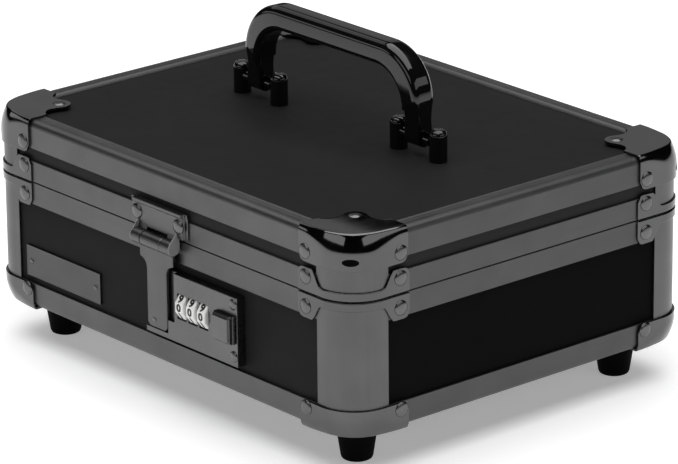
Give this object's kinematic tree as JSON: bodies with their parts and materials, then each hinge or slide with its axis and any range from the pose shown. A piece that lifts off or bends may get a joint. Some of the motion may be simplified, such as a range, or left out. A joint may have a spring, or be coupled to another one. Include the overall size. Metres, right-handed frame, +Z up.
{
  "type": "cash box",
  "caption": "Lidded black cash box with aluminium edge rails, riveted corner caps, carrying handle, hasp and combination lock.",
  "frame": {"origin": "centre of the outer box on the surface that the feet stand on", "axes": "+X to the right along the front, -Y out of the front that carries the lock, +Z up"},
  "size_m": [0.272, 0.2256, 0.165],
  "materials": {
    "laminate_black": "satin black laminate with a fine pebble",
    "rail_aluminium": "satin anodised",
    "dark_chrome": "polished dark chrome",
    "rivet_steel": "polished",
    "lock_steel": "satin dark chrome",
    "plate_satin": "fine brushed",
    "handle_black": "gloss black",
    "rubber_black": "matt",
    "dial_white": "satin white",
    "tray_black": "satin",
    "lining_felt": "short felt"
  },
  "bodies": {
    "base": {"base_bottom_panel": "laminate_black", "base_front_panel": "laminate_black", "base_back_panel": "laminate_black", "base_left_panel": "laminate_black", "base_right_panel": "laminate_black", "base_bottom_rail_front": "rail_aluminium", "base_bottom_rail_right": "rail_aluminium", "base_bottom_rail_back": "rail_aluminium", "base_bottom_rail_left": "rail_aluminium", "base_rim_rail_front": "rail_aluminium", "base_rim_rail_right": "rail_aluminium", "base_rim_rail_back": "rail_aluminium", "base_rim_rail_left": "rail_aluminium", "base_corner_posts": "rail_aluminium", "bottom_corner_caps": "dark_chrome", "base_rim_brackets": "dark_chrome", "base_rivets": "rivet_steel", "rubber_feet": "rubber_black", "foot_screws": "rivet_steel", "base_lining": "lining_felt", "tray_ledges": "tray_black", "lock_plate": "lock_steel", "lock_case": "lock_steel", "lock_rivets": "rivet_steel", "dial_axle": "rivet_steel", "nameplate": "plate_satin", "nameplate_pins": "rivet_steel", "hinge_base_leaves": "lock_steel", "hinge_pins": "rivet_steel"},
    "lid": {"lid_top_panel": "laminate_black", "lid_side_panels": "laminate_black", "lid_top_rail_front": "rail_aluminium", "lid_top_rail_right": "rail_aluminium", "lid_top_rail_back": "rail_aluminium", "lid_top_rail_left": "rail_aluminium", "lid_rim_rail_front": "rail_aluminium", "lid_rim_rail_right": "rail_aluminium", "lid_rim_rail_back": "rail_aluminium", "lid_rim_rail_left": "rail_aluminium", "lid_corner_posts": "rail_aluminium", "top_corner_caps": "dark_chrome", "lid_rim_brackets": "dark_chrome", "lid_rivets": "rivet_steel", "handle_posts": "handle_black", "handle_pins": "dark_chrome", "handle_screws": "rivet_steel", "hasp_hinge_plate": "lock_steel", "hasp_rivets": "rivet_steel", "hasp_pin": "rivet_steel", "hinge_lid_leaves": "lock_steel", "lid_lining": "lining_felt"},
    "handle": {"handle_grip": "handle_black"},
    "hasp": {"hasp_arm": "lock_steel", "hasp_catch": "lock_steel"},
    "slider": {"lock_slider": "lock_steel", "lock_bolt": "lock_steel"},
    "dial_1": {"dial_1": "dial_white"},
    "dial_2": {"dial_2": "dial_white"},
    "dial_3": {"dial_3": "dial_white"},
    "tray": {"money_tray": "tray_black"}
  },
  "joints": [
    {"name": "lid_hinge", "type": "hinge", "parent": "base", "child": "lid", "pos_m": [0, 0.1092, 0.0848], "axis": [-1, 0, 0], "range_deg": [0, 100]},
    {"name": "handle_pivot", "type": "hinge", "parent": "lid", "child": "handle", "pos_m": [0, 0.0025, 0.1228], "axis": [1, 0, 0], "range_deg": [-90, 90]},
    {"name": "hasp_hinge", "type": "hinge", "parent": "lid", "child": "hasp", "pos_m": [0, -0.1092, 0.082], "axis": [-1, 0, 0], "range_deg": [0, 120]},
    {"name": "slider_slide", "type": "slide", "parent": "base", "child": "slider", "axis": [1, 0, 0], "range_m": [0, 0.004], "stiffness_N_per_m": 300, "springref_m": -0.002},
    {"name": "dial_1_spin", "type": "hinge", "parent": "base", "child": "dial_1", "pos_m": [0.0181, -0.1032, 0.0542], "axis": [1, 0, 0], "continuous": true},
    {"name": "dial_2_spin", "type": "hinge", "parent": "base", "child": "dial_2", "pos_m": [0.0261, -0.1032, 0.0542], "axis": [1, 0, 0], "continuous": true},
    {"name": "dial_3_spin", "type": "hinge", "parent": "base", "child": "dial_3", "pos_m": [0.0341, -0.1032, 0.0542], "axis": [1, 0, 0], "continuous": true},
    {"name": "tray_lift", "type": "slide", "parent": "base", "child": "tray", "axis": [0, 0, 1], "range_m": [0, 0.025]}
  ]
}
